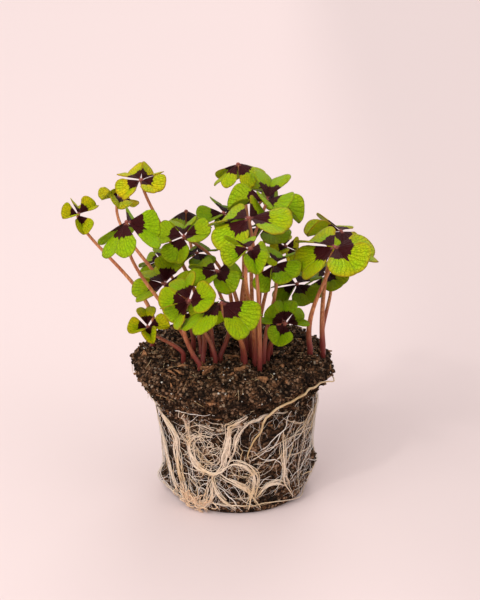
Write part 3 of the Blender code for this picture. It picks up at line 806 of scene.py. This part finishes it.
def add_knob(bm, leaf, axis):
    """The small hub at the middle of a leaf, in the third of its materials."""
    radius = KNOB_SHARE * HUB_RADIUS * MM
    knob = bmesh.ops.create_icosphere(bm, subdivisions=2, radius=radius)["verts"]
    tilt = UP.rotation_difference(axis).to_matrix().to_4x4()
    flat = Matrix.Diagonal((1, 1, KNOB_FLAT, 1))
    place = Matrix.Translation(Vector(leaf.hub) * MM) @ tilt @ flat
    bmesh.ops.transform(bm, verts=knob, matrix=place)
    for vertex in knob:
        for face in vertex.link_faces:
            face.material_index = 2


def blade_piece(leaf, materials):
    """A leaf's four thin blades and the small hub that they meet at, in place of its CAD node."""
    ways = [heading(*turn) for turn in leaf.leaflets]
    axis = leaf_axis(ways)
    bm = bmesh.new()
    for index in range(len(ways)):
        mesh = leaflet(leaf, ways, axis, index)
        bm.from_mesh(mesh)
        bpy.data.meshes.remove(mesh)
    piece = add_piece("blades_" + leaf.name, mesh_from(bm, "blades_" + leaf.name), *materials)
    thicken = piece.modifiers.new("Thickness", "SOLIDIFY")
    thicken.thickness = BLADE_THICK * MM
    thicken.offset = 0
    thicken.material_offset = 1
    bm = bmesh.new()
    bm.from_mesh(final_mesh(piece))
    piece.modifiers.clear()
    add_knob(bm, leaf, axis)
    piece.data = mesh_from(bm, "blades_" + leaf.name)
    dress(piece.data, materials)
    piece.data.shade_smooth()
    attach(piece, "root")
    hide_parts("leaf_" + leaf.name)


# Stalks


def stalk_route(leaf):
    """Points and radii up a stalk, from the bottom of its hole to just under its leaf's hub."""
    axis = leaf_axis([heading(*turn) for turn in leaf.leaflets])
    foot = Vector((*leaf.foot, HOLE_BOTTOM + FIT))
    ground = Vector((*leaf.foot, STRAIGHT_TO))
    top = Vector(leaf.hub) - axis * (HUB_RADIUS + FIT)
    rise = top.z - ground.z
    bow = Vector((*leaf.bend, 0))
    low = ground + Vector((0, 0, RISES_STRAIGHT * rise)) + bow
    high = top - axis * (MEETS_STRAIGHT * rise) + bow
    thick = STOUT if leaf.name in STOUT_STALKS else STALK_FOOT
    points, radii = [foot], [thick]
    for i in range(STALK_SPANS + 1):
        t = i / STALK_SPANS
        points.append(
            ground * (1 - t) ** 3
            + low * (3 * t * (1 - t) ** 2)
            + high * (3 * t * t * (1 - t))
            + top * t**3
        )
        radii.append(STALK_TOP + (thick - STALK_TOP) * (1 - t) ** TAPER)
    points.append(Vector(leaf.hub) - axis * (INTO_HUB * HUB_RADIUS))
    return points, radii + [STALK_TOP * NECK]


def stalk_piece(leaf, skin):
    piece = strands("stem_" + leaf.name, [stalk_route(leaf)], 3, skin)
    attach(piece, "root")
    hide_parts("stalk_" + leaf.name)


# Root ball


def around(angle):
    turn = radians(angle)
    return Vector((cos(turn), sin(turn), 0))


def ball_radius(height):
    """The radius of the smooth ball at a height, read down its outer side."""
    side = [p for p in BALL_PROFILE if p[0] >= BASE_RADIUS]
    for (r_high, z_high), (r_low, z_low) in zip(side, side[1:]):
        if z_low <= height <= z_high:
            share = (height - z_low) / (z_high - z_low)
            return r_low + share * (r_high - r_low)
    return BASE_RADIUS


def ball_slope(height):
    """How fast the ball widens with height there."""
    return (ball_radius(height + 1) - ball_radius(height - 1)) / 2


def top_height(r):
    """The height of the smooth top at a radius."""
    for (r_a, z_a), (r_b, z_b) in zip(BALL_PROFILE, BALL_PROFILE[1:]):
        if r_a <= r <= r_b:
            return z_a + (z_b - z_a) * (r - r_a) / (r_b - r_a)


def collar_offset(height):
    return COLLAR_SHIFT * smoothstep(COLLAR_STARTS, COLLAR_FULL, height)


def crumb_height(point):
    """How far the soil stands out at a point: small on the side, more on top."""
    on_collar = smoothstep(COLLAR_STARTS, COLLAR_FULL, point.z)
    depth = SIDE_CRUMB + (COLLAR_CRUMB - SIDE_CRUMB) * on_collar
    height = depth * (noise.noise(point / CRUMB_SIZE) + noise.noise(point / (4 * CRUMB_SIZE)))
    for angle, lump_z, spread, out in LUMPS:
        centre = around(angle) * ball_radius(lump_z) + UP * lump_z
        gone = (point - centre).length / spread
        if gone < LUMP_ENDS:
            height += out * exp(-gone * gone)
    return smoothstep(0.0, CRUMBS_FROM, point.z) * height


def grain_height(point):
    """The soil's own grain, as rounded lumps with pits between them."""
    on_collar = smoothstep(COLLAR_STARTS - GRAIN_LOWER, COLLAR_FULL - GRAIN_LOWER, point.z)
    nearest = [noise.voronoi(point / size)[0][0] for size, _, _ in GRAIN_LUMPS]
    height = sum(depth * (level - far) for (_, depth, level), far in zip(GRAIN_LUMPS, nearest))
    height += sum(depth * noise.noise(point / size) for size, depth in GRAIN_WAVES)
    share = SIDE_GRAIN + (1 - SIDE_GRAIN) * on_collar
    return share * smoothstep(0.0, CRUMBS_FROM, point.z) * height


def fine_profile():
    """The ball's outline from the middle of its top down to the middle of its base."""
    points = []
    for (r_a, z_a), (r_b, z_b) in zip(BALL_PROFILE, BALL_PROFILE[1:]):
        step = PROFILE_STEP if z_a > 0 else BASE_STEP
        parts = max(1, round(hypot(r_b - r_a, z_b - z_a) / step))
        for i in range(parts):
            points.append((r_a + (r_b - r_a) * i / parts, z_a + (z_b - z_a) * i / parts))
    return points + [BALL_PROFILE[-1]]


def ball_point(point):
    """A point of the smooth ball moved out, and up on top, to the soil's rough surface."""
    out = Vector((point.x, point.y, 0))
    out = out.normalized() if out.length > 1 else Vector()
    upward = smoothstep(TOP_STARTS, TOP_FULL, point.z)
    way = (out * (1 - upward) + UP * upward) if point.z > 0.01 else Vector()
    moved = point + way * (crumb_height(point) + grain_height(point))
    moved.x += collar_offset(point.z)
    moved.z = max(moved.z, 0.0)
    return moved, way


def compost_piece(material):
    bm = bmesh.new()
    ring = [bm.verts.new((r, 0, z)) for r, z in fine_profile()]
    edges = [bm.edges.new(pair) for pair in zip(ring, ring[1:])]
    bmesh.ops.spin(
        bm, geom=ring + edges, cent=(0, 0, 0), axis=(0, 0, 1), dvec=(0, 0, 0),
        angle=2 * pi, steps=SPIN_STEPS, use_merge=True,
    )
    bmesh.ops.remove_doubles(bm, verts=bm.verts, dist=SAME_POINT)
    for vertex in bm.verts:
        vertex.co = ball_point(vertex.co.copy())[0] * MM
    bmesh.ops.recalc_face_normals(bm, faces=bm.faces)
    mesh = mesh_from(bm, "compost")
    mesh.shade_smooth()
    piece = add_piece("compost", mesh, material)
    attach(piece, "root")
    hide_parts("soil")


# Loose soil


def flank_place(heights):
    """A random point on the smooth ball's outer side between two heights."""
    z = uniform(*heights)
    return around(uniform(0, 360)) * ball_radius(z) + UP * z


def top_place():
    """A random point of the smooth ball, as often on its top as on its collar's side."""
    if random.random() < 0.5:
        r = TOP_RADIUS * sqrt(random.random())
        return around(uniform(0, 360)) * r + Vector((0, 0, top_height(r)))
    return flank_place(COLLAR_HEIGHTS)


def side_place():
    return flank_place(SIDE_HEIGHTS)


def front_place():
    """A random point near the front of the top, where the largest chips lie."""
    angle, r = uniform(*FRONT_ANGLES), uniform(*FRONT_RADII)
    return around(angle) * r + UP * FRONT_HEIGHT


def set_down(point, size, sink):
    """A matrix that sets a unit shape down on the rough soil, sunk into it a little."""
    moved, way = ball_point(point)
    at = Matrix.Translation((moved + way * (size * (0.5 - sink))) * MM)
    stretch = Matrix.Diagonal((*(uniform(*ends) for ends in STRETCHES), 1))
    spin, tip = uniform(0, 2 * pi), uniform(0, 2 * pi)
    turn = Matrix.Rotation(spin, 4, "Z") @ Matrix.Rotation(tip, 4, "X")
    return at @ turn @ stretch @ Matrix.Scale(size, 4)


def strewn(count, place, small, large, sink, power=1.0):
    """Matrices that set shapes of random sizes down at random places."""
    return [set_down(place(), uniform(small, large) ** power, sink) for _ in range(count)]


def soil_fibre():
    """A bit of straw that starts just over the soil, lies along it and sinks at its far end."""
    moved, way = ball_point(top_place())
    lie = Vector((gauss(0, 1), gauss(0, 1), gauss(0, 0.35)))
    lie = (lie - way * lie.dot(way)).normalized()
    curl = Vector((gauss(0, 1), gauss(0, 1), gauss(0, 0.5))) * FIBRE_CURL
    points = []
    for i in range(random.randint(4, 11)):
        over = moved + way * (FIBRE_START - FIBRE_SINK * i * i)
        points.append(over + lie * (FIBRE_STEP * i) + curl * (CURL_GROWTH * i * i))
    return tapered(points, uniform(0.08, 0.17), 0.5)


def loose_soil(dark, light, bark, speck, straw):
    """Crumbs, bark chips, white specks and bits of straw pressed into the soil's surface."""
    crumbs = strewn(2900, top_place, 0.45, 1.35, 0.25, 1.3)
    paler = strewn(1100, top_place, 0.35, 1.0, 0.25, 1.3)
    lower = strewn(1300, side_place, 0.35, 0.8, 0.25, 1.3)
    chips = strewn(110, top_place, 0.5, 1.4, 0.3) + strewn(16, front_place, 1.5, 2.6, 0.2)
    chips = [at @ Matrix.Diagonal(CHIP_SHAPE) for at in chips]
    specks = strewn(260, top_place, 0.22, 0.5, 0.0) + strewn(60, side_place, 0.2, 0.4, 0.0)
    fibres = [soil_fibre() for _ in range(SOIL_FIBRES)]
    pieces = (
        scattered("crumbs_top", 1, 0.6, crumbs, dark),
        scattered("crumbs_light", 1, 0.6, paler, light),
        scattered("crumbs_side", 1, 0.6, lower, dark),
        scattered("bark_chips", 2, 0.9, chips, bark),
        scattered("white_specks", 1, 0.4, specks, speck),
        strands("soil_fibres", fibres, 0, straw),
    )
    for piece in pieces:
        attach(piece, "root")


# Roots


def smooth_route(points):
    """Points about a step apart along a smooth curve through the route's own points."""
    ends = [2 * points[0] - points[1], *points, 2 * points[-1] - points[-2]]
    out = []
    for a, b, c, d in zip(ends, ends[1:], ends[2:], ends[3:]):
        parts = max(1, round((c - b).length / ROUTE_STEP))
        for i in range(parts):
            t = i / parts
            out.append(
                0.5 * (2 * b + (c - a) * t + (2 * a - 5 * b + 4 * c - d) * t * t)
                + 0.5 * (3 * b - a - 3 * c + d) * t**3
            )
    return out + [points[-1]]


def unrolled(angle, height):
    """A place as its length round the ball and its height."""
    return Vector((radians(angle) * UNROLL_RADIUS, height))


def on_ball(place, above):
    """The point over an unrolled place, raised off the soil."""
    angle = degrees(place.x / UNROLL_RADIUS)
    height = min(max(place.y, LOWEST_ROOT), HIGHEST_ROOT)
    slope = ball_slope(height)
    out = (around(angle) - UP * slope) / hypot(1, slope)
    point = around(angle) * ball_radius(height) + UP * height
    point += out * (crumb_height(point) + above)
    point.x += collar_offset(height)
    point.z = max(point.z, ABOVE_FLOOR)
    return point


def ring_route():
    """Once round the foot of the ball, in three waves."""
    turns = range(0, 361, RING_STEP)
    return [(a, RING_HEIGHT + RING_WAVE * sin(radians(3 * a))) for a in turns]


def back_routes():
    """Roots down the far side, by a rule: each leans one way, and the next leans the other."""
    gap = (BACK_TO - BACK_FROM) / (BACK_ROOTS - 1)
    for i in range(BACK_ROOTS):
        angle = BACK_FROM + i * gap
        lean = gap * BACK_LEANS[i % 2]
        bow = BACK_BOW * sin(2.4 * i)
        yield (
            (angle - lean / 2, BACK_TOP), (angle + bow, 38), (angle + lean / 3, 24),
            (angle + lean / 2 - bow, 13), (angle + lean / 2, RING_HEIGHT - 1),
        )


def tapered(points, radius, tip):
    """The points with their radii, even along the middle of a root and thin at its ends."""
    count, radii = len(points), []
    for i in range(count):
        from_end = min(1.0, 3.0 * min(i, count - 1 - i) / count)
        radii.append(radius * (tip + (1 - tip) * from_end))
    return points, radii


def fibre_point(middle, i, seed, offset, radius):
    """A point of a fibre that strays from its route by a long drift and a short jitter."""
    here = middle[i]
    ahead = middle[min(i + 1, len(middle) - 1)] - middle[max(i - 1, 0)]
    across = Vector((-ahead.y, ahead.x)).normalized()
    drift = noise.noise_vector(seed + Vector((here.x / DRIFT_SIZE, here.y / DRIFT_SIZE, 0)))
    jitter = noise.noise_vector(seed + Vector((here.x / JITTER_SIZE, here.y / JITTER_SIZE, 7)))
    aside = offset + DRIFT_ASIDE * radius * drift.x + JITTER_ASIDE * jitter.x
    above = FIBRE_HEIGHT + ROOT_LIFT * radius + DRIFT_UP * drift.y + JITTER_UP * jitter.y
    return on_ball(here + across * aside, max(above, LEAST_HEIGHT))


def bundle(route, radius, fibres):
    """A root as a core with many fine fibres that wander beside it along one route."""
    middle = smooth_route([unrolled(angle, height) for angle, height in route])
    made = []
    for k in range(fibres):
        seed = Vector((uniform(0, 99), uniform(0, 99), 0))
        low, high, offset = 0, len(middle), 0
        if k > 0:
            low = int(uniform(0, MOST_CUT) * len(middle))
            high -= int(uniform(0, MOST_CUT) * len(middle))
            offset = uniform(-FIBRE_OFFSET, FIBRE_OFFSET) * radius
        points = [fibre_point(middle, i, seed, offset, radius) for i in range(low, high)]
        size = radius * (CORE_SHARE if k == 0 else uniform(*FIBRE_SHARES))
        if len(points) > 4:
            made.append(tapered(points, size, FIBRE_TIP))
    return made


def wandering(place, lie, length, step, radius, above, wildness):
    """A root that runs over the ball's side from a place, or None where it soon runs off it."""
    seed = Vector((uniform(0, 99), uniform(0, 99), 3))
    turn = radians(lie)
    points = []
    for i in range(max(4, round(length / step))):
        bend = noise.noise(seed + Vector((i * step / LONG_BEND, 0, 0)))
        bend += 0.5 * noise.noise(seed + Vector((i * step / SHORT_BEND, 5, 0)))
        way = turn + wildness * bend
        place = place + Vector((cos(way), sin(way))) * step
        if not LOWEST_RUN < place.y < HIGHEST_RUN:
            break
        rise = noise.noise(seed + Vector((i * step / RISE_LENGTH, 9, 0)))
        points.append(on_ball(place, above * (1 + RISE_SHARE * rise)))
    return tapered(points, radius, SINGLE_TIP) if len(points) > 3 else None


def lie_of(angle):
    """The way that most roots run on that side: steep at the left, rising at the right."""
    if -90 < angle < 10:
        return choice(RIGHT_LIES)
    if -180 <= angle <= -90:
        return choice(LEFT_LIES)
    return choice(BACK_LIES)


def fine_roots(count, lengths, radii, step, above, wildness, top):
    """Single roots that start anywhere round the ball, up to a height."""
    made = []
    while len(made) < count:
        angle = uniform(-180, 180)
        place = unrolled(angle, uniform(LOWEST_START, top))
        lie = lie_of(angle) + gauss(0, LIE_SPREAD)
        length, radius = uniform(*lengths), uniform(*radii)
        root = wandering(place, lie, length, step, radius, above, wildness)
        if root:
            made.append(root)
    return made


def root_mat(count, middle, spread, lengths, radii, above):
    """Short roots that cross each other every way, felted round a middle (angle, height)."""
    made = []
    while len(made) < count:
        angle = gauss(middle[0], spread[0])
        place = unrolled(angle, gauss(middle[1], spread[1]))
        length, radius = uniform(*lengths), uniform(*radii)
        lie = uniform(0, 360)
        root = wandering(place, lie, length, ROUTE_STEP, radius, above, MAT_WILDNESS)
        if root:
            made.append(root)
    return made


def root_pieces(cream, straw, pale, orange):
    bundles = bundle(ring_route(), THIN, RING_FIBRES)
    straws = []
    for number, (radius, route) in enumerate(FRONT_ROOTS):
        if number == COLLAR_ROUTE:
            straws += bundle(route, COLLAR_SHARE * radius, 1)
        elif number in FINE_ROUTES:
            bundles += bundle(route, FINE_SHARE * radius, FINE_FIBRES)
        else:
            bundles += bundle(route, radius, round(4 + 6 * radius))
    for route in back_routes():
        bundles += bundle(route, THIN, BACK_FIBRES)
    mains = strands("root_bundles", bundles, 1, cream)
    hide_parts("roots")
    long_roots = fine_roots(*LONG_ROOTS)
    straws += fine_roots(*STRAW_ROOTS)
    hairs = fine_roots(*ROOT_HAIRS)
    mats = [root for mat in MATS for root in root_mat(*mat)]
    knot = root_mat(*KNOT)
    made = [
        mains,
        strands("root_strands", long_roots, 1, pale),
        strands("root_straws", straws, 1, straw),
        strands("root_hairs", hairs, 0, pale),
        strands("root_mats", mats, 0, cream),
        strands("root_knot", knot, 0, orange),
    ]
    for piece in made:
        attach(piece, "root")


# Stage


def aimed(name, data, at, way):
    """A lamp or camera that stands at a point and looks one way."""
    thing = new_object(name, data)
    thing.location = at
    thing.rotation_euler = way.to_track_quat("-Z", "Y").to_euler()
    return thing


def stage_and_light():
    bm = bmesh.new()
    bmesh.ops.create_circle(bm, cap_ends=True, segments=96, radius=FLOOR_RADIUS)
    floor = add_piece("floor", mesh_from(bm, "floor"), floor_look())
    world = bpy.data.worlds.new("studio")
    world.use_nodes = True
    sky = world.node_tree.nodes["Background"]
    sky.inputs["Color"].default_value = SKY_COLOUR
    sky.inputs["Strength"].default_value = SKY_STRENGTH
    bpy.context.scene.world = world
    for name, at, size, power, colour in LAMPS:
        data = bpy.data.lights.new(name, "AREA")
        data.shape = "DISK"
        data.size, data.energy, data.color = size, power, colour
        aimed(name, data, at, Vector(LAMPS_AIM) - Vector(at))


def camera():
    lift = radians(CAMERA_LIFT)
    data = bpy.data.cameras.new("camera")
    data.sensor_width, data.lens = SENSOR, LENS
    data.clip_start, data.clip_end = 0.01, 20
    back = Vector((0, -cos(lift), sin(lift)))
    at = Vector(CAMERA_AIM) + back * CAMERA_DISTANCE
    bpy.context.scene.camera = aimed("camera", data, at, -back)


def main():
    hub = mottled_look("hub_skin", 900.0, (0.22, 0.045, 0.035), (0.42, 0.14, 0.10), 0.5)
    blades = (upper_blade(), under_blade(), hub)
    stalk = stalk_skin()
    for leaf in LEAVES:
        blade_piece(leaf, blades)
        stalk_piece(leaf, stalk)
    soil, light = compost_look("compost"), compost_look("compost_light")
    compost_piece(soil)
    straw, cream, pale, orange = map(root_look, ROOT_SKINS)
    speck = mottled_look("white_speck", 1200.0, (0.55, 0.50, 0.42), (0.80, 0.77, 0.70), 0.7)
    loose_soil(soil, light, bark_look(), speck, straw)
    root_pieces(cream, straw, pale, orange)
    stage_and_light()
    camera()
    bpy.context.scene.view_settings.view_transform = "Standard"


main()
